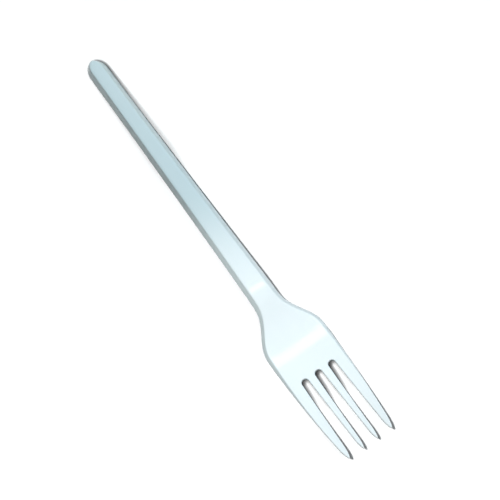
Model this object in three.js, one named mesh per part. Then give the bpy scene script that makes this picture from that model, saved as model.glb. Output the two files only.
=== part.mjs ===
// Disposable plastic fork, moulded in one piece.
//
// The fork lies face up as on a table: +X runs along it to the tips of the tines, +Z is up.
// The origin is below the middle of its length, at the level it rests on.
// Lengths are in millimetres, and "along" is a distance from the end of the handle.

import * as THREE from 'three';
import { mergeVertices } from 'three/addons/utils/BufferGeometryUtils.js';

const { degToRad, lerp, smoothstep, smootherstep } = THREE.MathUtils;

// Overall
const forkLength = 165;

// Handle, seen from above
const handleEndLength = 5.1;
const handleEndHalfWidth = 3.6;
const handleMiddleHalfWidth = 4.1;
const neckHalfWidth = 4.9;

// Head, seen from above
const shoulderLength = 19.5;
const headLength = 41.7;
const headHalfWidth = 11.6;
const tipsHalfWidth = 9.4;

// Tines and the three slots between them
const tineLength = 31.2;
const slotRootWidth = 2.45;
const slotTipWidth = 4.05;
const slotRootPitch = 5.43;
const slotTipPitch = 5.62;
const tipTaperLength = 4.6;

// Side view: the neck bends over, drops to the bowl, and the tines rise again
const heelToTips = 34.4;
const neckBendRadius = 23;
const neckDropAngle = degToRad(25);
const neckDropLength = 5;
const bowlRadius = 46;
const tineRiseRadius = 120;
const dishDepth = 0.6;

// Walls
const plateThickness = 1.5;
const tipThickness = 1.1;
const skirtThickness = 1.15;
const handleDepth = 4.2;
const handleSideInset = 1.55;
const handleEndInset = 1.2;
const tineSideInset = 0.15;
const skirtFadeLead = 3.5;
const skirtFadeLength = 46;
const handleCrown = 1.2;
const topEdgeRounding = 0.35;
const lowerEdgeRounding = 0.25;
const channelFillet = 0.4;

// Facets
const capSteps = 8;
const handleSteps = 10;
const headSteps = 36;
const rootSteps = 6;
const tineSteps = 12;
const tipSteps = 6;
const columnsPerTine = 3;
const topEdgeSteps = 4;
const lowerEdgeSteps = 2;
const filletSteps = 2;

const quarterTurn = Math.PI / 2;

// Places along the fork
const widestAlong = forkLength - headLength;
const shoulderAlong = widestAlong - shoulderLength;
const heelAlong = forkLength - heelToTips;
const rootRadius = slotRootWidth / 2;
const rootCentreAlong = forkLength - tineLength + rootRadius;
const tipTaperAlong = forkLength - tipTaperLength;
const skirtFadeAlong = shoulderAlong - skirtFadeLead;

// Side view of the upper face: straight handle, neck arc, straight drop, bowl arc, tine arc
const bowlStart = {
  along: heelAlong - bowlRadius * Math.sin(neckDropAngle),
  height: plateThickness + bowlRadius * (1 - Math.cos(neckDropAngle)),
};
const neckEnd = {
  along: bowlStart.along - neckDropLength * Math.cos(neckDropAngle),
  height: bowlStart.height + neckDropLength * Math.sin(neckDropAngle),
};
const neckCentre = {
  along: neckEnd.along - neckBendRadius * Math.sin(neckDropAngle),
  height: neckEnd.height - neckBendRadius * Math.cos(neckDropAngle),
};

function headHeight(along) {
  if (along < neckEnd.along) {
    return neckCentre.height + Math.sqrt(neckBendRadius ** 2 - (along - neckCentre.along) ** 2);
  }
  if (along < bowlStart.along) {
    return neckEnd.height - (along - neckEnd.along) * Math.tan(neckDropAngle);
  }
  const radius = along < heelAlong ? bowlRadius : tineRiseRadius;
  return plateThickness + radius - Math.sqrt(radius ** 2 - (along - heelAlong) ** 2);
}

// How far the deep handle section has faded into the thin plate of the tines, from 0 to 1
const skirtFade = (along) => smoothstep(along, skirtFadeAlong, skirtFadeAlong + skirtFadeLength);

const plateAt = (along) =>
  lerp(plateThickness, tipThickness, smoothstep(along, rootCentreAlong, forkLength));

const depthAt = (along) => lerp(handleDepth, plateAt(along), skirtFade(along));

const dishAt = (along, across) =>
  dishDepth * smoothstep(along, shoulderAlong, widestAlong) * (across / headHalfWidth) ** 2;

// Half width of the lower rim, seen from above. The handle's is a parabola through its widths
// at the end, in the middle and at the neck.
function rimHalfWidth(along) {
  const t = (along - handleEndLength) / (shoulderAlong - handleEndLength);
  const bow = 2 * (handleEndHalfWidth + neckHalfWidth - 2 * handleMiddleHalfWidth);
  const handle = lerp(handleEndHalfWidth, neckHalfWidth, t) + bow * t * (t - 1);
  const beyondWidest = Math.max(along - widestAlong, 0) / headLength;
  const head = lerp(headHalfWidth, tipsHalfWidth, beyondWidest ** 2);
  return lerp(handle, head, smootherstep(along, shoulderAlong, widestAlong));
}

// Width of the rim's flat underside. It narrows to the edge rounding as the skirt fades.
const rimFlatAt = (along) => lerp(skirtThickness, lowerEdgeRounding, skirtFade(along));

// The level the fork rests on: the lowest point of the rim under the bowl
function lowestHeadRim() {
  const samples = 200;
  let lowest = Infinity;
  for (let i = 0; i <= samples; i += 1) {
    const along = lerp(shoulderAlong, forkLength, i / samples);
    const across = rimHalfWidth(along) - rimFlatAt(along);
    lowest = Math.min(lowest, headHeight(along) + dishAt(along, across) - depthAt(along));
  }
  return lowest;
}
const restLevel = lowestHeadRim();

// The handle leaves the neck arc as a tangent whose far end rests at the same level as the bowl
const endHeight = restLevel + handleDepth;
const endToCentre = neckCentre.height - endHeight;
const handleAngle = Math.acos(-neckBendRadius / Math.hypot(endToCentre, neckCentre.along))
  - Math.atan2(neckCentre.along, endToCentre);
const neckStartAlong = neckCentre.along - neckBendRadius * Math.sin(handleAngle);

function topHeight(along, across) {
  if (along < neckStartAlong) {
    return handleDepth + along * Math.tan(handleAngle);
  }
  return headHeight(along) + dishAt(along, across) - restLevel;
}

// Slots and tine edges, seen from above
const tineFraction = (along) => (along - rootCentreAlong) / (forkLength - rootCentreAlong);

const slotCentre = (slot, along) =>
  slot * lerp(slotRootPitch, slotTipPitch, tineFraction(along));

const slotHalfWidth = (along) =>
  lerp(slotRootWidth, slotTipWidth, tineFraction(along)) / 2;

// Stations along the fork. A round end is stepped by angle, the rest by length.
function spanStations(kind, from, to, steps) {
  return Array.from({ length: steps }, (_, i) => ({ kind, along: lerp(from, to, (i + 1) / steps) }));
}

function turnStations(kind, steps, alongAt) {
  return Array.from({ length: steps + 1 }, (_, i) => {
    const angle = (quarterTurn * i) / steps;
    return { kind, angle, along: alongAt(angle) };
  });
}

const topSlotInset = tineSideInset + topEdgeRounding;
const rootApexAlong = rootCentreAlong - rootRadius - topSlotInset;

const capStations = turnStations('cap', capSteps,
  (angle) => handleEndLength * (1 - Math.cos(angle)));
const handleStations = spanStations('body', handleEndLength, neckStartAlong, handleSteps);
const headStations = spanStations('body', neckStartAlong, rootApexAlong, headSteps).slice(0, -1);
const rootStations = turnStations('root', rootSteps,
  (angle) => rootCentreAlong - (rootRadius + topSlotInset) * Math.cos(angle));
const tineStations = spanStations('tine', rootCentreAlong, tipTaperAlong, tineSteps);
const tipStations = turnStations('tip', tipSteps,
  (angle) => lerp(tipTaperAlong, forkLength, Math.sin(angle))).slice(1);

const stations = [
  ...capStations, ...handleStations, ...headStations,
  ...rootStations, ...tineStations, ...tipStations,
];
const firstRootStation = capStations.length + handleStations.length + headStations.length;

// The outline of the rim, moved inwards by an inset, as [along, across] on the +Y side
function outerEdge(station, inset) {
  if (station.kind === 'cap') {
    return [
      handleEndLength - (handleEndLength - inset) * Math.cos(station.angle),
      (handleEndHalfWidth - inset) * Math.sin(station.angle),
    ];
  }
  const nudge = 0.01;
  const { along } = station;
  const slope = (rimHalfWidth(along + nudge) - rimHalfWidth(along - nudge)) / (2 * nudge);
  const normalLength = Math.hypot(1, slope);
  return [
    along + (inset * slope) / normalLength,
    rimHalfWidth(along) - inset / normalLength,
  ];
}

// One side of a slot, moved into the tine by an inset. Side is +1 towards +Y and -1 towards -Y.
function slotEdge(slot, side, station, inset) {
  if (station.kind === 'root') {
    const radius = rootRadius + inset;
    const along = rootCentreAlong - radius * Math.cos(station.angle);
    return [along, slotCentre(slot, rootCentreAlong) + side * radius * Math.sin(station.angle)];
  }
  const { along } = station;
  return [along, slotCentre(slot, along) + side * (slotHalfWidth(along) + inset)];
}

// The two tines on the +Y side, each between a slot edge and a slot edge or the outer edge
const tines = [
  {
    inner: (station, inset) => slotEdge(0, 1, station, inset),
    outer: (station, inset) => slotEdge(1, -1, station, inset),
    outerIsRim: false,
  },
  {
    inner: (station, inset) => slotEdge(1, 1, station, inset),
    outer: (station, inset) => outerEdge(station, inset),
    outerIsRim: true,
  },
];

// A tine edge where it narrows to its rounded tip: an ellipse about the tine's centre line
function tipEdge(tine, side, station, inset) {
  const reach = forkLength - inset - tipTaperAlong;
  const along = tipTaperAlong + reach * Math.sin(station.angle);
  const untapered = { kind: 'tine', along };
  const near = tine.inner(untapered, 0)[1];
  const far = tine.outer(untapered, 0)[1];
  const halfWidth = (far - near) / 2 - inset;
  return [along, (near + far) / 2 + side * halfWidth * Math.cos(station.angle)];
}

function tineEdge(tine, side, station, inset) {
  if (station.kind === 'tip') {
    return tipEdge(tine, side, station, inset);
  }
  return side > 0 ? tine.outer(station, inset) : tine.inner(station, inset);
}

// Before the slots begin, the tines' edges run on as seams that share out the width
const seamShare = (slot, inset) => {
  const station = { kind: 'body', along: rootApexAlong };
  return slotCentre(slot, rootCentreAlong) / outerEdge(station, inset)[1];
};

function seamPoint(slot, station, inset) {
  const [along, across] = outerEdge(station, inset);
  const share = seamShare(slot, inset);
  return station.kind === 'cap' ? [along, across * share] : [station.along, across * share];
}

// Cross section of an edge: a list of [inset, drop below the upper face] from top to bottom.
// The upper edge is rounded, over the width of the crown, and so is the lower edge.
function roundedCorner(from, corner, to, steps) {
  return Array.from({ length: steps + 1 }, (_, i) => {
    const t = i / steps;
    return [0, 1].map((k) =>
      (1 - t) ** 2 * from[k] + 2 * t * (1 - t) * corner[k] + t ** 2 * to[k]);
  });
}

function edgeSection(sideInset, depth, crown) {
  const slant = Math.hypot(sideInset, depth);
  const down = [-sideInset / slant, depth / slant];
  const crease = [sideInset, 0];
  const foot = [0, depth];
  const top = roundedCorner(
    [sideInset + crown, 0],
    crease,
    [crease[0] + down[0] * topEdgeRounding, crease[1] + down[1] * topEdgeRounding],
    topEdgeSteps,
  );
  const lower = roundedCorner(
    [foot[0] - down[0] * lowerEdgeRounding, foot[1] - down[1] * lowerEdgeRounding],
    foot,
    [lowerEdgeRounding, depth],
    lowerEdgeSteps,
  );
  return [...top, ...lower];
}

// The outer edge of the fork is a sloping skirt round an open channel under the handle.
// The rim's inner edge is rounded and the channel's roof is filleted, as far as the wall allows.
function rimSection(station) {
  const { kind, angle, along } = station;
  const depth = depthAt(along);
  const plate = plateAt(along);
  const sideInset = kind === 'cap'
    ? lerp(handleEndInset, handleSideInset, Math.sin(angle))
    : lerp(handleSideInset, tineSideInset, skirtFade(along));
  const crown = lerp(handleCrown, topEdgeRounding, skirtFade(along));
  const rimFlat = rimFlatAt(along);
  const wall = depth - plate;
  const lean = sideInset / depth;
  const rounding = Math.min(lowerEdgeRounding, wall / 2);
  const fillet = Math.min(channelFillet, wall / 2);
  const roofInset = rimFlat + lean * wall;
  const foot = roundedCorner(
    [rimFlat - rounding, depth],
    [rimFlat, depth],
    [rimFlat + lean * rounding, depth - rounding],
    filletSteps,
  );
  const roof = roundedCorner(
    [roofInset - lean * fillet, plate + fillet],
    [roofInset, plate],
    [roofInset + fillet, plate],
    filletSteps,
  );
  return [...edgeSection(sideInset, depth, crown), ...foot, ...roof];
}

function surfacePoint([along, across], drop) {
  return new THREE.Vector3(along - forkLength / 2, across, topHeight(along, across) - drop);
}

function evenRow(from, to, drop, steps) {
  return Array.from({ length: steps + 1 }, (_, i) => {
    const t = i / steps;
    return surfacePoint([lerp(from[0], to[0], t), lerp(from[1], to[1], t)], drop);
  });
}

// One closed loop round a tine, or round its share of the head and handle, at one station:
// over the upper face, down the outer edge, back under the lower face and up the inner edge
function tineLoop(tine, tineIndex, station, isSplit) {
  const plate = plateAt(station.along);
  const slotSection = edgeSection(tineSideInset, plate, topEdgeRounding);
  const rim = rimSection(station);
  const outerSection = tine.outerIsRim ? rim : slotSection;
  const outerIsOpen = isSplit || tine.outerIsRim;
  const topInset = outerSection[0][0];
  const lowerInset = outerSection[outerSection.length - 1][0];

  const edgeAt = (side, slot, isOpen, openInset, bodyInset) =>
    (isOpen ? tineEdge(tine, side, station, openInset) : seamPoint(slot, station, bodyInset));
  const rimTop = rim[0][0];
  const rimRoof = rim[rim.length - 1][0];

  const topFrom = edgeAt(-1, tineIndex, isSplit, slotSection[0][0], rimTop);
  const topTo = edgeAt(1, tineIndex + 1, outerIsOpen, topInset, rimTop);
  const lowerFrom = edgeAt(1, tineIndex + 1, outerIsOpen, lowerInset, rimRoof);
  const lowerTo = edgeAt(-1, tineIndex, isSplit, lowerEdgeRounding, rimRoof);

  const side = (section, which) => section.map(([inset, drop]) =>
    surfacePoint(tineEdge(tine, which, station, inset), drop));

  return {
    upper: evenRow(topFrom, topTo, 0, columnsPerTine),
    outer: outerIsOpen ? side(outerSection, 1) : null,
    lower: evenRow(lowerFrom, lowerTo, plate, columnsPerTine),
    inner: isSplit ? side(slotSection, -1).reverse() : null,
  };
}

// Joins each pair of neighbouring stations with two triangles for every step of their loops
function halfTriangles() {
  const triangles = [];
  const bridge = (first, second) => {
    for (let j = 0; j + 1 < first.length; j += 1) {
      triangles.push([first[j], second[j], second[j + 1]]);
      triangles.push([first[j], second[j + 1], first[j + 1]]);
    }
  };
  tines.forEach((tine, tineIndex) => {
    const loops = stations.map((station, i) =>
      tineLoop(tine, tineIndex, station, i >= firstRootStation));
    for (let i = 0; i + 1 < loops.length; i += 1) {
      for (const strip of ['upper', 'outer', 'lower', 'inner']) {
        const first = loops[i][strip];
        const second = loops[i + 1][strip];
        if (first && second) {
          bridge(first, second);
        }
      }
    }
  });
  return triangles;
}

// Both halves of the fork, with the points they share merged and collapsed triangles left out
function forkGeometry() {
  const mirrored = (point) => new THREE.Vector3(point.x, -point.y, point.z);
  const half = halfTriangles();
  const otherHalf = half.map(([a, b, c]) => [mirrored(a), mirrored(c), mirrored(b)]);
  const points = [...half, ...otherHalf].flat();

  const loose = new THREE.BufferGeometry().setFromPoints(points);
  loose.setIndex(points.map((_, i) => i));
  const geometry = mergeVertices(loose);

  const index = [];
  const merged = geometry.getIndex().array;
  for (let i = 0; i < merged.length; i += 3) {
    const [a, b, c] = merged.slice(i, i + 3);
    if (a !== b && b !== c && c !== a) {
      index.push(a, b, c);
    }
  }
  geometry.setIndex(index);
  geometry.computeVertexNormals();
  return geometry;
}

const whitePlastic = new THREE.MeshStandardMaterial({
  color: 0xf1fafa,
  roughness: 0.3,
  metalness: 0,
});

const fork = new THREE.Mesh(forkGeometry(), whitePlastic);
fork.name = 'fork';

const part = new THREE.Group();
part.add(fork);

export default part;
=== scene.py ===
# Disposable white plastic fork, moulded in one piece, lying face up on a white table.

import math

import bmesh
import bpy
from mathutils import Matrix, Vector


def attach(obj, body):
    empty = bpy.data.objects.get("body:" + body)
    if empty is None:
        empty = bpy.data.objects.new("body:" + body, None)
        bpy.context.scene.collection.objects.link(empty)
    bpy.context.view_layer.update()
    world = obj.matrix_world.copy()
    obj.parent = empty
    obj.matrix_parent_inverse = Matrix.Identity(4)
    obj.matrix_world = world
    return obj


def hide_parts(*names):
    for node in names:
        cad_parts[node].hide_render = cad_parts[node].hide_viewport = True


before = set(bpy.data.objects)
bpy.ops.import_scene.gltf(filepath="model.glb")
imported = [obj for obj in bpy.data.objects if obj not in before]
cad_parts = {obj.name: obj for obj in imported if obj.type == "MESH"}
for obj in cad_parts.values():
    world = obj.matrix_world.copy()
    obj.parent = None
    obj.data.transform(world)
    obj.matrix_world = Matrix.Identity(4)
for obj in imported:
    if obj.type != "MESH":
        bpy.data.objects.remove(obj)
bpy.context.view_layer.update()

MM = 0.001

# Driving dimensions of the fork: lengths in millimetres, angles in radians. "Along" is a distance
# from the handle's end. The edge stretch says how many times longer the rounding of the edges is
# at the ends of the tines.
FORK_LENGTH = 165
HANDLE_END_LENGTH = 5.1
HANDLE_END_HALF_WIDTH = 3.6
HANDLE_MIDDLE_HALF_WIDTH = 4.1
NECK_HALF_WIDTH = 4.9
SHOULDER_LENGTH = 19.5
HEAD_LENGTH = 41.7
HEAD_HALF_WIDTH = 11.6
TIPS_HALF_WIDTH = 9.4
TINE_LENGTH = 31.2
SLOT_ROOT_WIDTH = 2.45
SLOT_TIP_WIDTH = 4.05
SLOT_ROOT_PITCH = 5.43
SLOT_TIP_PITCH = 5.62
TIP_TAPER_LENGTH = 4.6
TIP_EDGE_STRETCH = 2.6
HEEL_TO_TIPS = 34.4
NECK_BEND_RADIUS = 23
NECK_DROP_ANGLE = math.radians(25)
NECK_DROP_LENGTH = 5
BOWL_RADIUS = 46
TINE_RISE_RADIUS = 120
DISH_DEPTH = 0.6
PLATE_THICKNESS = 1.5
TIP_THICKNESS = 1.1
SKIRT_THICKNESS = 1.15
HANDLE_DEPTH = 4.2
HANDLE_SIDE_INSET = 1.55
HANDLE_END_INSET = 1.2
TINE_SIDE_INSET = 0.15
SKIRT_FADE_LEAD = 3.5
SKIRT_FADE_LENGTH = 46
CREASE_FADE_START = 106
CREASE_FADE_LENGTH = 52
HANDLE_CROWN = 1.2
TOP_EDGE_ROUNDING = 0.35
LOWER_EDGE_ROUNDING = 0.25
CHANNEL_FILLET = 0.4

# How finely the surface is stepped
CAP_STEPS = 24
HANDLE_STEPS = 30
HEAD_STEPS = 130
ROOT_STEPS = 16
TINE_STEPS = 30
TIP_STEPS = 16
COLUMNS_PER_TINE = 8
TOP_EDGE_STEPS = 8
LOWER_EDGE_STEPS = 4
FILLET_STEPS = 4

# The camera, fitted to the photo. Its distance and aim are in millimetres, its sensor too.
IMAGE_PIXELS = 500
SENSOR_WIDTH = 36
FOCAL_PIXELS = 2672
CAMERA_DISTANCE = 901.4
CAMERA_AIM = Vector((4.28, 5.88, 0))
TILT_TO_TIPS = math.radians(13)
TILT_TO_SIDE = math.radians(-2.95)
FORK_ANGLE_IN_IMAGE = math.radians(53.75)


def lerp(start, end, share):
    return start + (end - start) * share


def smoothstep(value, low, high):
    t = min(max((value - low) / (high - low), 0), 1)
    return t * t * (3 - 2 * t)


def smootherstep(value, low, high):
    t = min(max((value - low) / (high - low), 0), 1)
    return t**3 * (t * (6 * t - 15) + 10)


# Places along the fork
WIDEST = FORK_LENGTH - HEAD_LENGTH
SHOULDER = WIDEST - SHOULDER_LENGTH
HEEL = FORK_LENGTH - HEEL_TO_TIPS
ROOT_RADIUS = SLOT_ROOT_WIDTH / 2
ROOT_CENTRE = FORK_LENGTH - TINE_LENGTH + ROOT_RADIUS
TIP_TAPER = FORK_LENGTH - TIP_TAPER_LENGTH
SKIRT_FADE = SHOULDER - SKIRT_FADE_LEAD
ROOT_APEX = ROOT_CENTRE - ROOT_RADIUS - (TINE_SIDE_INSET + TOP_EDGE_ROUNDING)

# Side view of the upper face: straight handle, neck arc, straight drop, bowl arc, tine arc
BOWL_START = HEEL - BOWL_RADIUS * math.sin(NECK_DROP_ANGLE)
BOWL_START_HEIGHT = PLATE_THICKNESS + BOWL_RADIUS * (1 - math.cos(NECK_DROP_ANGLE))
NECK_END = BOWL_START - NECK_DROP_LENGTH * math.cos(NECK_DROP_ANGLE)
NECK_END_HEIGHT = BOWL_START_HEIGHT + NECK_DROP_LENGTH * math.sin(NECK_DROP_ANGLE)
NECK_CENTRE = NECK_END - NECK_BEND_RADIUS * math.sin(NECK_DROP_ANGLE)
NECK_CENTRE_HEIGHT = NECK_END_HEIGHT - NECK_BEND_RADIUS * math.cos(NECK_DROP_ANGLE)


def head_height(along):
    if along < NECK_END:
        return NECK_CENTRE_HEIGHT + math.sqrt(NECK_BEND_RADIUS**2 - (along - NECK_CENTRE) ** 2)
    if along < BOWL_START:
        return NECK_END_HEIGHT - (along - NECK_END) * math.tan(NECK_DROP_ANGLE)
    radius = BOWL_RADIUS if along < HEEL else TINE_RISE_RADIUS
    return PLATE_THICKNESS + radius - math.sqrt(radius**2 - (along - HEEL) ** 2)


def skirt_fade(along):
    """How far the deep handle section has faded into the thin plate of the tines, 0 to 1."""
    return smoothstep(along, SKIRT_FADE, SKIRT_FADE + SKIRT_FADE_LENGTH)


def crease_fade(along):
    """The crease above the skirt runs out later than the skirt's depth, 0 to 1."""
    return smoothstep(along, CREASE_FADE_START, CREASE_FADE_START + CREASE_FADE_LENGTH)


def plate_at(along):
    return lerp(PLATE_THICKNESS, TIP_THICKNESS, smoothstep(along, ROOT_CENTRE, FORK_LENGTH))


def depth_at(along):
    return lerp(HANDLE_DEPTH, plate_at(along), skirt_fade(along))


def dish_at(along, across):
    return DISH_DEPTH * smoothstep(along, SHOULDER, WIDEST) * (across / HEAD_HALF_WIDTH) ** 2


def rim_half_width(along):
    """Half width of the lower rim, seen from above."""
    t = (along - HANDLE_END_LENGTH) / (SHOULDER - HANDLE_END_LENGTH)
    bow = 2 * (HANDLE_END_HALF_WIDTH + NECK_HALF_WIDTH - 2 * HANDLE_MIDDLE_HALF_WIDTH)
    handle = lerp(HANDLE_END_HALF_WIDTH, NECK_HALF_WIDTH, t) + bow * t * (t - 1)
    beyond_widest = max(along - WIDEST, 0) / HEAD_LENGTH
    head = lerp(HEAD_HALF_WIDTH, TIPS_HALF_WIDTH, beyond_widest**2)
    return lerp(handle, head, smootherstep(along, SHOULDER, WIDEST))


def rim_flat_at(along):
    """Width of the rim's flat underside, which narrows as the skirt fades."""
    return lerp(SKIRT_THICKNESS, LOWER_EDGE_ROUNDING, skirt_fade(along))


def lowest_head_rim():
    """The level the fork rests on: the lowest point of the rim under the bowl."""
    samples = 200
    lowest = math.inf
    for i in range(samples + 1):
        along = lerp(SHOULDER, FORK_LENGTH, i / samples)
        across = rim_half_width(along) - rim_flat_at(along)
        lowest = min(lowest, head_height(along) + dish_at(along, across) - depth_at(along))
    return lowest


REST_LEVEL = lowest_head_rim()

# The handle leaves the neck arc as a tangent whose far end rests at the bowl's level
END_TO_CENTRE = NECK_CENTRE_HEIGHT - REST_LEVEL - HANDLE_DEPTH
CENTRE_BEARING = math.atan2(NECK_CENTRE, END_TO_CENTRE)
TANGENT_BEARING = math.acos(-NECK_BEND_RADIUS / math.hypot(END_TO_CENTRE, NECK_CENTRE))
HANDLE_ANGLE = TANGENT_BEARING - CENTRE_BEARING
NECK_START = NECK_CENTRE - NECK_BEND_RADIUS * math.sin(HANDLE_ANGLE)


def top_height(along, across):
    if along < NECK_START:
        return HANDLE_DEPTH + along * math.tan(HANDLE_ANGLE)
    return head_height(along) + dish_at(along, across) - REST_LEVEL


def tine_fraction(along):
    return (along - ROOT_CENTRE) / (FORK_LENGTH - ROOT_CENTRE)


def slot_centre(slot, along):
    return slot * lerp(SLOT_ROOT_PITCH, SLOT_TIP_PITCH, tine_fraction(along))


def slot_half_width(along):
    return lerp(SLOT_ROOT_WIDTH, SLOT_TIP_WIDTH, tine_fraction(along)) / 2


# Stations along the fork as (kind, angle, along). Round ends are stepped by angle.
def span_stations(kind, start, end, steps):
    return [(kind, 0, lerp(start, end, (i + 1) / steps)) for i in range(steps)]


def turn_stations(kind, steps, along_at):
    angles = [math.pi / 2 * i / steps for i in range(steps + 1)]
    return [(kind, angle, along_at(angle)) for angle in angles]


def all_stations():
    """The stations in order, and the index of the first one at the slots."""
    root_radius = ROOT_CENTRE - ROOT_APEX
    before = turn_stations("cap", CAP_STEPS, lambda a: HANDLE_END_LENGTH * (1 - math.cos(a)))
    before += span_stations("body", HANDLE_END_LENGTH, NECK_START, HANDLE_STEPS)
    before += span_stations("body", NECK_START, ROOT_APEX, HEAD_STEPS)[:-1]
    after = turn_stations("root", ROOT_STEPS, lambda a: ROOT_CENTRE - root_radius * math.cos(a))
    after += span_stations("tine", ROOT_CENTRE, TIP_TAPER, TINE_STEPS)
    after += turn_stations("tip", TIP_STEPS, lambda a: lerp(TIP_TAPER, FORK_LENGTH, math.sin(a)))[1:]
    return before + after, len(before)


def outer_edge(station, inset):
    """The outline of the rim, moved inwards by an inset, as (along, across)."""
    kind, angle, along = station
    if kind == "cap":
        reach = HANDLE_END_LENGTH - inset
        half_width = HANDLE_END_HALF_WIDTH - inset
        return HANDLE_END_LENGTH - reach * math.cos(angle), half_width * math.sin(angle)
    nudge = 0.01
    slope = (rim_half_width(along + nudge) - rim_half_width(along - nudge)) / (2 * nudge)
    normal_length = math.hypot(1, slope)
    return along + inset * slope / normal_length, rim_half_width(along) - inset / normal_length


def slot_edge(slot, side, station, inset):
    """One side of a slot, moved into the tine by an inset. Side is 1 towards +Y, else -1."""
    kind, angle, along = station
    if kind == "root":
        radius = ROOT_RADIUS + inset
        across = slot_centre(slot, ROOT_CENTRE) + side * radius * math.sin(angle)
        return ROOT_CENTRE - radius * math.cos(angle), across
    return along, slot_centre(slot, along) + side * (slot_half_width(along) + inset)


def near_edge(tine, station, inset):
    """The edge towards the middle line. Tine 0 is the inner tine of the half, tine 1 the outer."""
    return slot_edge(tine, 1, station, inset)


def far_edge(tine, station, inset):
    """The edge away from the middle line, which on the outer tine is the rim."""
    if tine == 0:
        return slot_edge(1, -1, station, inset)
    return outer_edge(station, inset)


def tine_edge(tine, side, station, inset):
    """An edge of a tine. At its tip both edges close on an ellipse about the centre line.

    The rounding of the edges is stretched there, so that the tip ends blunt but soft.
    """
    kind, angle, _ = station
    if kind != "tip":
        return far_edge(tine, station, inset) if side > 0 else near_edge(tine, station, inset)
    reach = FORK_LENGTH - TIP_EDGE_STRETCH * inset - TIP_TAPER
    along = TIP_TAPER + reach * math.sin(angle)
    untapered = ("tine", 0, along)
    near = near_edge(tine, untapered, 0)[1]
    far = far_edge(tine, untapered, 0)[1]
    half_width = (far - near) / 2 - inset
    return along, (near + far) / 2 + side * half_width * math.cos(angle)


def seam_point(slot, station, inset):
    """Before the slots begin, the tines' edges run on as seams that share out the width."""
    kind, _, along = station
    edge_along, edge_across = outer_edge(station, inset)
    share = slot_centre(slot, ROOT_CENTRE) / outer_edge(("body", 0, ROOT_APEX), inset)[1]
    return (edge_along if kind == "cap" else along), edge_across * share


def rounded_corner(start, corner, end, steps):
    """Points on a curve from start to end that rounds off a corner."""
    points = []
    for i in range(steps + 1):
        t = i / steps
        weights = ((1 - t) ** 2, 2 * t * (1 - t), t**2)
        points.append([sum(w * p[k] for w, p in zip(weights, (start, corner, end))) for k in (0, 1)])
    return points


def edge_section(side_inset, depth, crown):
    """Cross section of an edge as [inset, drop below the upper face], from top to bottom.

    The upper edge is rounded over the width of the crown.
    """
    slant = math.hypot(side_inset, depth)
    down = (-side_inset / slant, depth / slant)
    top = rounded_corner(
        (side_inset + crown, 0),
        (side_inset, 0),
        (side_inset + down[0] * TOP_EDGE_ROUNDING, down[1] * TOP_EDGE_ROUNDING),
        TOP_EDGE_STEPS,
    )
    lower = rounded_corner(
        (-down[0] * LOWER_EDGE_ROUNDING, depth - down[1] * LOWER_EDGE_ROUNDING),
        (0, depth),
        (LOWER_EDGE_ROUNDING, depth),
        LOWER_EDGE_STEPS,
    )
    return top + lower


def rim_section(station):
    """The sloping skirt round the open channel under the handle, with its inner corners filleted."""
    kind, angle, along = station
    depth = depth_at(along)
    plate = plate_at(along)
    if kind == "cap":
        side_inset = lerp(HANDLE_END_INSET, HANDLE_SIDE_INSET, math.sin(angle))
    else:
        side_inset = lerp(HANDLE_SIDE_INSET, TINE_SIDE_INSET, crease_fade(along))
    crown = lerp(HANDLE_CROWN, TOP_EDGE_ROUNDING, skirt_fade(along))
    rim_flat = rim_flat_at(along)
    wall = depth - plate
    lean = side_inset / depth
    fillet = min(CHANNEL_FILLET, wall / 2)
    foot_rounding = min(LOWER_EDGE_ROUNDING, wall / 2)
    roof_inset = rim_flat + lean * wall
    foot = rounded_corner(
        (rim_flat - foot_rounding, depth),
        (rim_flat, depth),
        (rim_flat + lean * foot_rounding, depth - foot_rounding),
        FILLET_STEPS,
    )
    roof = rounded_corner(
        (roof_inset - lean * fillet, plate + fillet),
        (roof_inset, plate),
        (roof_inset + fillet, plate),
        FILLET_STEPS,
    )
    return edge_section(side_inset, depth, crown) + foot + roof


def surface_point(place, drop):
    """The point at a place (along, across), a drop below the upper face, in metres."""
    along, across = place
    return Vector((along - FORK_LENGTH / 2, across, top_height(along, across) - drop)) * MM


def even_row(start, end, drop, steps):
    """A row of points in even steps between two places."""
    row = []
    for i in range(steps + 1):
        t = i / steps
        row.append(surface_point((lerp(start[0], end[0], t), lerp(start[1], end[1], t)), drop))
    return row


def tine_loop(tine, station, is_split):
    """The rows of points round a tine, or round its share of the handle, at one station."""
    along = station[2]
    plate = plate_at(along)
    slot_section = edge_section(TINE_SIDE_INSET, plate, TOP_EDGE_ROUNDING)
    rim = rim_section(station)
    rim_top = rim[0][0]
    rim_roof = rim[-1][0]
    far_is_open = is_split or tine == 1
    far_section = rim if tine == 1 else slot_section

    def edge_at(side, slot, is_open, open_inset, seam_inset):
        if is_open:
            return tine_edge(tine, side, station, open_inset)
        return seam_point(slot, station, seam_inset)

    def side_row(section, side):
        return [surface_point(tine_edge(tine, side, station, inset), drop) for inset, drop in section]

    top_from = edge_at(-1, tine, is_split, slot_section[0][0], rim_top)
    top_to = edge_at(1, tine + 1, far_is_open, far_section[0][0], rim_top)
    lower_from = edge_at(1, tine + 1, far_is_open, far_section[-1][0], rim_roof)
    lower_to = edge_at(-1, tine, is_split, LOWER_EDGE_ROUNDING, rim_roof)
    return {
        "upper": even_row(top_from, top_to, 0, COLUMNS_PER_TINE),
        "far": side_row(far_section, 1) if far_is_open else None,
        "lower": even_row(lower_from, lower_to, plate, COLUMNS_PER_TINE),
        "near": side_row(slot_section, -1)[::-1] if is_split else None,
    }


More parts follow.
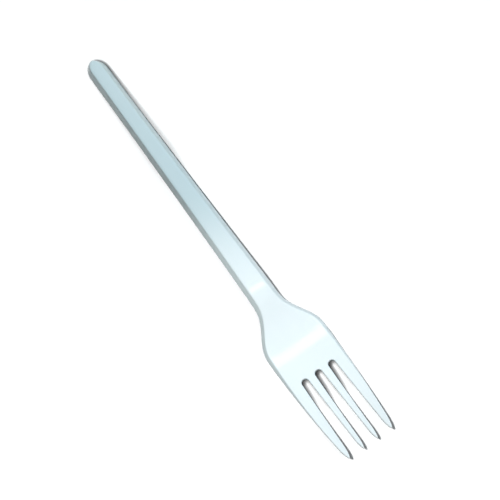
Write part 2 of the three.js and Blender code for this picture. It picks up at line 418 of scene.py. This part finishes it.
def half_faces():
    """The +Y half of the fork as faces of four points."""
    stations, first_at_slots = all_stations()
    faces = []
    for tine in (0, 1):
        loops = [tine_loop(tine, s, i >= first_at_slots) for i, s in enumerate(stations)]
        for first, second in zip(loops, loops[1:]):
            for strip, row in first.items():
                next_row = second[strip]
                if not row or not next_row:
                    continue
                for j in range(len(row) - 1):
                    faces.append((row[j], next_row[j], next_row[j + 1], row[j + 1]))
    return faces


def fork_mesh():
    """Both halves as one closed mesh, with the points they share merged."""
    weld_distance = 0.0005 * MM
    sharp_angle = math.radians(40)
    mesh = bpy.data.meshes.new("plastic_fork")
    shape = bmesh.new()
    for face in half_faces():
        for mirror in (1, -1):
            points = [Vector((p.x, p.y * mirror, p.z)) for p in face[::mirror]]
            shape.faces.new([shape.verts.new(p) for p in points])
    bmesh.ops.remove_doubles(shape, verts=shape.verts, dist=weld_distance)
    bmesh.ops.dissolve_degenerate(shape, edges=shape.edges, dist=weld_distance)
    bmesh.ops.recalc_face_normals(shape, faces=shape.faces)
    shape.to_mesh(mesh)
    shape.free()
    mesh.shade_smooth()
    mesh.set_sharp_from_angle(angle=sharp_angle)
    return mesh


def new_material(name):
    material = bpy.data.materials.new(name)
    material.use_nodes = True
    nodes = material.node_tree.nodes
    nodes.clear()
    return material, nodes, material.node_tree.links


def add_noise(nodes, links, place, scale, detail):
    noise = nodes.new("ShaderNodeTexNoise")
    noise.inputs["Scale"].default_value = scale
    noise.inputs["Detail"].default_value = detail
    links.new(place, noise.inputs["Vector"])
    return noise.outputs["Fac"]


def map_range(nodes, links, value, source, target):
    """Maps a value from one range, given as (low, high), to another, and holds it inside that."""
    spread = nodes.new("ShaderNodeMapRange")
    for name, end in zip(("From Min", "From Max", "To Min", "To Max"), (*source, *target)):
        spread.inputs[name].default_value = end
    links.new(value, spread.inputs["Value"])
    return spread.outputs["Result"]


def calculate(nodes, links, operation, *values):
    """A maths node. Each of its values is a number or the socket it comes from."""
    step = nodes.new("ShaderNodeMath")
    step.operation = operation
    for socket, value in zip(step.inputs, values):
        if isinstance(value, (int, float)):
            socket.default_value = value
        else:
            links.new(value, socket)
    return step.outputs["Value"]


def white_plastic():
    """Glossy polystyrene: faint flow marks along the part, a fine orange peel and a soft glow."""
    flow_stretch = (0.25, 1, 1)
    flow_scale = 220
    flow_detail = 4
    flow_tints = ((0.870, 0.925, 0.935, 1), (0.905, 0.950, 0.955, 1))
    flow_roughness = (0.08, 0.12)
    middle_of_a_noise = (0.3, 0.7)
    peel_scale = 900
    peel_detail = 2
    peel_strength = 0.12
    peel_height = 0.02 * MM
    glow_share = 0.15
    glow_depth = 0.6 * MM
    refraction = 1.5

    material, nodes, links = new_material("white_plastic")
    place = nodes.new("ShaderNodeTexCoord")
    stretch = nodes.new("ShaderNodeMapping")
    stretch.inputs["Scale"].default_value = flow_stretch
    links.new(place.outputs["Object"], stretch.inputs["Vector"])
    flow = add_noise(nodes, links, stretch.outputs["Vector"], flow_scale, flow_detail)
    peel = add_noise(nodes, links, place.outputs["Object"], peel_scale, peel_detail)

    tint = nodes.new("ShaderNodeMix")
    tint.data_type = "RGBA"
    for name, colour in zip(("A", "B"), flow_tints):
        tint.inputs[name].default_value = colour
    links.new(flow, tint.inputs["Factor"])
    roughness = map_range(nodes, links, flow, middle_of_a_noise, flow_roughness)

    bump = nodes.new("ShaderNodeBump")
    bump.inputs["Strength"].default_value = peel_strength
    bump.inputs["Distance"].default_value = peel_height
    links.new(peel, bump.inputs["Height"])

    plastic = nodes.new("ShaderNodeBsdfPrincipled")
    plastic.inputs["IOR"].default_value = refraction
    plastic.inputs["Subsurface Weight"].default_value = glow_share
    plastic.inputs["Subsurface Radius"].default_value = (1.0, 1.0, 1.0)
    plastic.inputs["Subsurface Scale"].default_value = glow_depth
    links.new(tint.outputs["Result"], plastic.inputs["Base Color"])
    links.new(roughness, plastic.inputs["Roughness"])
    links.new(bump.outputs["Normal"], plastic.inputs["Normal"])

    output = nodes.new("ShaderNodeOutputMaterial")
    links.new(plastic.outputs["BSDF"], output.inputs["Surface"])
    return material


def split_by_ray(nodes, links, for_light, for_eye, output_kind):
    """One shader for the rays that light the fork, another for those that show the background.

    What shows is seen directly, mirrored or through something clear.
    """
    path = nodes.new("ShaderNodeLightPath")
    seen = path.outputs["Is Camera Ray"]
    for name in ("Is Glossy Ray", "Is Transmission Ray"):
        seen = calculate(nodes, links, "MAXIMUM", seen, path.outputs[name])
    either = nodes.new("ShaderNodeMixShader")
    links.new(seen, either.inputs["Fac"])
    links.new(for_light, either.inputs[1])
    links.new(for_eye, either.inputs[2])
    output = nodes.new(output_kind)
    links.new(either.outputs["Shader"], output.inputs["Surface"])


def contact_reach(nodes, links):
    """How far the contact shadow on the table reaches, in metres, by the place beside the fork.

    It follows the handle where that begins to rise, is short at the shoulders and longer round
    the roots of the slots, but not outside the tines.
    """
    reach_by_share_of_length = (
        (0.0, 0.8),
        (0.25, 3.6),
        (0.42, 3.6),
        (0.50, 2.4),
        (0.55, 0.8),
        (0.78, 0.8),
        (0.82, 1.7),
    )
    fade_width = 2
    share_kept_beside_the_head = 0.35
    half_length = FORK_LENGTH / 2 * MM
    beside_the_head = ((HEAD_HALF_WIDTH - fade_width) * MM, HEAD_HALF_WIDTH * MM)

    place = nodes.new("ShaderNodeTexCoord")
    parts = nodes.new("ShaderNodeSeparateXYZ")
    links.new(place.outputs["Object"], parts.inputs["Vector"])
    share = map_range(nodes, links, parts.outputs["X"], (-half_length, half_length), (0, 1))
    ramp = nodes.new("ShaderNodeValToRGB")
    stops = ramp.color_ramp.elements
    while len(stops) < len(reach_by_share_of_length):
        stops.new(1)
    for stop, (position, reach) in zip(stops, reach_by_share_of_length):
        stop.position = position
        stop.color = (reach, reach, reach, 1)
    links.new(share, ramp.inputs["Fac"])

    sideways = calculate(nodes, links, "ABSOLUTE", parts.outputs["Y"])
    unit = map_range(nodes, links, sideways, beside_the_head, (MM, share_kept_beside_the_head * MM))
    return calculate(nodes, links, "MULTIPLY", ramp.outputs["Color"], unit)


def table_top():
    """A table that the lamps make white to the eye. It throws little light back on the fork.

    Close to the fork, on the side away from the light, it darkens to a thin contact shadow.
    """
    towards_the_light = (-0.55, -0.74, 0.39)
    shadow_samples = 16
    shadow_depth = 5
    white_under_the_lamps = 0.22
    light_thrown_back = (0.004, 0.010, 0.006, 1)

    material, nodes, links = new_material("table_top")
    side = nodes.new("ShaderNodeCombineXYZ")
    for socket, part in zip(side.inputs, towards_the_light):
        socket.default_value = part
    contact = nodes.new("ShaderNodeAmbientOcclusion")
    contact.samples = shadow_samples
    links.new(contact_reach(nodes, links), contact.inputs["Distance"])
    links.new(side.outputs["Vector"], contact.inputs["Normal"])
    deepened = calculate(nodes, links, "POWER", contact.outputs["AO"], shadow_depth)
    tone = calculate(nodes, links, "MULTIPLY", deepened, white_under_the_lamps)

    white = nodes.new("ShaderNodeBsdfDiffuse")
    links.new(tone, white.inputs["Color"])
    dark = nodes.new("ShaderNodeBsdfDiffuse")
    dark.inputs["Color"].default_value = light_thrown_back
    split_by_ray(nodes, links, dark.outputs["BSDF"], white.outputs["BSDF"], "ShaderNodeOutputMaterial")
    return material


def make_world():
    """White to the eye. For the light it is a cool sky, brightest overhead towards +Y."""
    sky_colour = (1.60, 2.05, 2.21, 1)
    brightest = (0, 0.309, 0.951)
    narrowness = 4

    world = bpy.data.worlds.new("studio")
    bpy.context.scene.world = world
    world.use_nodes = True
    nodes = world.node_tree.nodes
    links = world.node_tree.links
    nodes.clear()

    direction = nodes.new("ShaderNodeTexCoord")
    facing = nodes.new("ShaderNodeVectorMath")
    facing.operation = "DOT_PRODUCT"
    facing.inputs[1].default_value = brightest
    links.new(direction.outputs["Generated"], facing.inputs[0])
    lit_side = calculate(nodes, links, "MAXIMUM", facing.outputs["Value"], 0)
    brightness = calculate(nodes, links, "POWER", lit_side, narrowness)

    sky = nodes.new("ShaderNodeBackground")
    sky.inputs["Color"].default_value = sky_colour
    links.new(brightness, sky.inputs["Strength"])
    white = nodes.new("ShaderNodeBackground")
    white.inputs["Color"].default_value = (1, 1, 1, 1)
    split_by_ray(
        nodes, links, sky.outputs["Background"], white.outputs["Background"], "ShaderNodeOutputWorld"
    )


def matrix_at(place, right, up, back):
    """The matrix of something at a place in millimetres, turned to these three directions."""
    turn = Matrix((right, up, back)).transposed()
    return Matrix.Translation(place * MM) @ turn.to_4x4()


def aim(place, target):
    """The matrix of a lamp that shines from a place to a target, with its top towards the tips."""
    back = (place - target).normalized()
    right = Vector((1, 0, 0)).cross(back).normalized()
    return matrix_at(place, right, back.cross(right), back)


def add_lamp(name, kind, matrix, strength, colour):
    data = bpy.data.lights.new(name, kind)
    data.energy = strength
    data.color = colour
    lamp = bpy.data.objects.new(name, data)
    lamp.matrix_world = matrix
    lamp.visible_camera = False
    bpy.context.scene.collection.objects.link(lamp)
    return lamp


def add_panel(name, place, target, size, radiance, colour):
    """A rectangular softbox. Its power follows from its radiance and its area."""
    width, height = (length * MM for length in size)
    power = radiance * math.pi * width * height
    lamp = add_lamp(name, "AREA", aim(Vector(place), Vector(target)), power, colour)
    lamp.data.shape = "RECTANGLE"
    lamp.data.size = width
    lamp.data.size_y = height


def add_spot(name, place, target, cone, blend, strength, colour):
    """A small round spotlight that the plastic doesn't mirror. Its cone is in degrees."""
    radius = 12
    lamp = add_lamp(name, "SPOT", aim(Vector(place), Vector(target)), strength, colour)
    lamp.data.spot_size = math.radians(cone)
    lamp.data.spot_blend = blend
    lamp.data.shadow_soft_size = radius * MM
    lamp.visible_glossy = False


def add_table_sun(floor, shadow_fall, width, strength):
    """A sun that lights the table alone. Its shadows fall along a direction, its width is in degrees."""
    sun = add_lamp("table_sun", "SUN", aim(-shadow_fall, Vector((0, 0, 0))), strength, (1, 1, 1))
    sun.data.angle = math.radians(width)
    lit = bpy.data.collections.new("lit_by_table_sun")
    lit.objects.link(floor)
    sun.light_linking.receiver_collection = lit


def make_lights(floor):
    """A warm spot on the head, a fill for each side by the neck, a strip that the bends mirror,
    and a sun for the table alone. Places and sizes are in millimetres.
    """
    add_spot(
        "key",
        place=(150, 75, 400),
        target=(63, 0, 2),
        cone=21.8,
        blend=0.6,
        strength=2.45,
        colour=(1.0, 0.80, 0.75),
    )
    add_spot(
        "fill",
        place=(28, -400, 110),
        target=(28, 0, 2),
        cone=14,
        blend=0.8,
        strength=1.55,
        colour=(0.84, 0.98, 1.0),
    )
    add_spot(
        "blue_fill",
        place=(20, 350, 100),
        target=(20, 0, 2),
        cone=26,
        blend=0.8,
        strength=0.28,
        colour=(0.10, 0.55, 1.0),
    )
    add_panel(
        "strip",
        place=(126, 0, 900),
        target=(32, 0, 5),
        size=(420, 130),
        radiance=3.6,
        colour=(1, 1, 1),
    )
    add_table_sun(floor, shadow_fall=Vector((0.02, 0.15, -1)), width=4, strength=13.0)


def make_floor():
    half_size = 3000 * MM
    sunk = 0.02 * MM
    corners = ((-1, -1), (1, -1), (1, 1), (-1, 1))
    mesh = bpy.data.meshes.new("table")
    mesh.from_pydata([(x * half_size, y * half_size, -sunk) for x, y in corners], [], [(0, 1, 2, 3)])
    mesh.materials.append(table_top())
    floor = bpy.data.objects.new("table", mesh)
    bpy.context.scene.collection.objects.link(floor)
    return floor


def make_camera():
    """Looks down on the fork, tilted towards the tips, with the fork running down to the right."""
    back = Vector((math.sin(TILT_TO_TIPS), math.sin(TILT_TO_SIDE), 0))
    back.z = math.sqrt(1 - back.length_squared)
    along = (Vector((1, 0, 0)) - back * back.x).normalized()
    across = back.cross(along)
    cosine = math.cos(FORK_ANGLE_IN_IMAGE)
    sine = math.sin(FORK_ANGLE_IN_IMAGE)
    right = along * cosine + across * sine
    up = across * cosine - along * sine

    data = bpy.data.cameras.new("camera")
    data.sensor_width = SENSOR_WIDTH
    data.lens = FOCAL_PIXELS / IMAGE_PIXELS * SENSOR_WIDTH
    data.clip_start = 10 * MM
    camera = bpy.data.objects.new("camera", data)
    camera.matrix_world = matrix_at(CAMERA_AIM + back * CAMERA_DISTANCE, right, up, back)
    bpy.context.scene.collection.objects.link(camera)
    bpy.context.scene.camera = camera


def make_fork():
    mesh = fork_mesh()
    mesh.materials.append(white_plastic())
    fork = bpy.data.objects.new("plastic_fork", mesh)
    bpy.context.scene.collection.objects.link(fork)
    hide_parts("fork")
    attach(fork, "root")


bpy.context.scene.view_settings.view_transform = "Standard"
make_fork()
make_camera()
make_world()
make_lights(make_floor())
